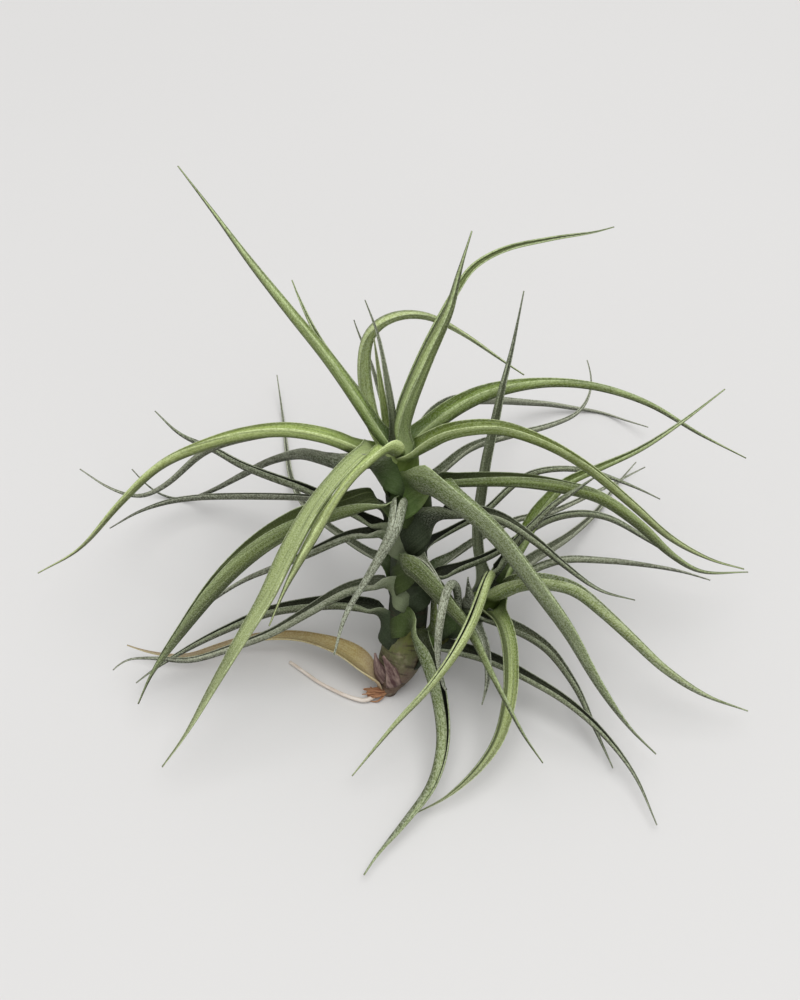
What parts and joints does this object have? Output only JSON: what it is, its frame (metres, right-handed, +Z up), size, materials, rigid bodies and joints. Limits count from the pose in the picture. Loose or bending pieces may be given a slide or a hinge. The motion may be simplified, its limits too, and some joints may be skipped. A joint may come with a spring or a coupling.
{
  "type": "air plant",
  "caption": "Tillandsia bergeri air plant: a leafy stem leaning back on its own leaves, with long channelled tapering leaves arching all round and an offset at its side.",
  "frame": {"origin": "centre of the small flat spot under the foot of the main stem, on the surface that the plant rests on", "axes": "+Z up, +Y back, the way the stem leans, +X to the right, the side that the offset grows on"},
  "size_m": [0.1852, 0.162, 0.1083],
  "materials": {
    "leaf_fresh": "mealy, satin, fresh yellow-green",
    "leaf_green": "mealy, satin, green",
    "leaf_grey": "matte, scurfy grey-green",
    "leaf_dark": "matte, dark olive green",
    "leaf_dying": "matte, yellow turning brown",
    "stem": "smooth, satin, covered by leaf sheaths",
    "dry": "dry, papery, reddish brown",
    "root": "dry, fibrous"
  },
  "bodies": {
    "root": {"main_stem": "stem", "offset_stem": "stem", "leaf_front_left_wide": "leaf_fresh", "leaf_front_left_pale": "leaf_fresh", "leaf_right_arch": "leaf_fresh", "leaf_upright": "leaf_green", "leaf_long_left": "leaf_green", "leaf_left_arch": "leaf_fresh", "leaf_behind_upright": "leaf_green", "leaf_centre_dark": "leaf_dark", "leaf_centre_young": "leaf_fresh", "leaf_loop": "leaf_fresh", "leaf_beside_long_left": "leaf_green", "leaf_behind_loop": "leaf_grey", "leaf_far_right_arch": "leaf_green", "leaf_back_right": "leaf_grey", "leaf_under_left_arch": "leaf_grey", "leaf_left_grey": "leaf_grey", "leaf_front_right_wide": "leaf_green", "leaf_right_channelled": "leaf_green", "leaf_right_curled": "leaf_grey", "leaf_front_silver": "leaf_grey", "leaf_left_wide": "leaf_green", "leaf_left_low": "leaf_grey", "leaf_left_dark": "leaf_dark", "leaf_right_grey": "leaf_dark", "leaf_right_thin_dark": "leaf_dark", "leaf_left_thin": "leaf_grey", "leaf_back_left": "leaf_grey", "leaf_front_lower": "leaf_green", "leaf_beside_front_lower": "leaf_grey", "leaf_right_faint": "leaf_grey", "leaf_right_long_dark": "leaf_dark", "leaf_left_lower_grey": "leaf_grey", "leaf_front_bottom": "leaf_green", "leaf_left_lower_dark": "leaf_dark", "leaf_right_edge_dark": "leaf_dark", "leaf_dying": "leaf_dying", "offset_leaf_folded": "leaf_fresh", "offset_leaf_hooked": "leaf_grey", "offset_leaf_small": "leaf_grey", "offset_leaf_front_wide": "leaf_fresh", "offset_leaf_right_arch": "leaf_fresh", "offset_leaf_long_right": "leaf_green", "offset_leaf_channelled": "leaf_dark", "offset_leaf_upright": "leaf_dark", "offset_leaf_right_thin": "leaf_grey", "offset_leaf_back_right": "leaf_grey", "offset_leaf_front_dark": "leaf_dark", "offset_leaf_front_small": "leaf_grey", "offset_leaf_low_upright": "leaf_green", "dry_scale_left": "dry", "dry_scale_front": "dry", "root_fibres": "root", "root_pale": "root"}
  },
  "joints": []
}
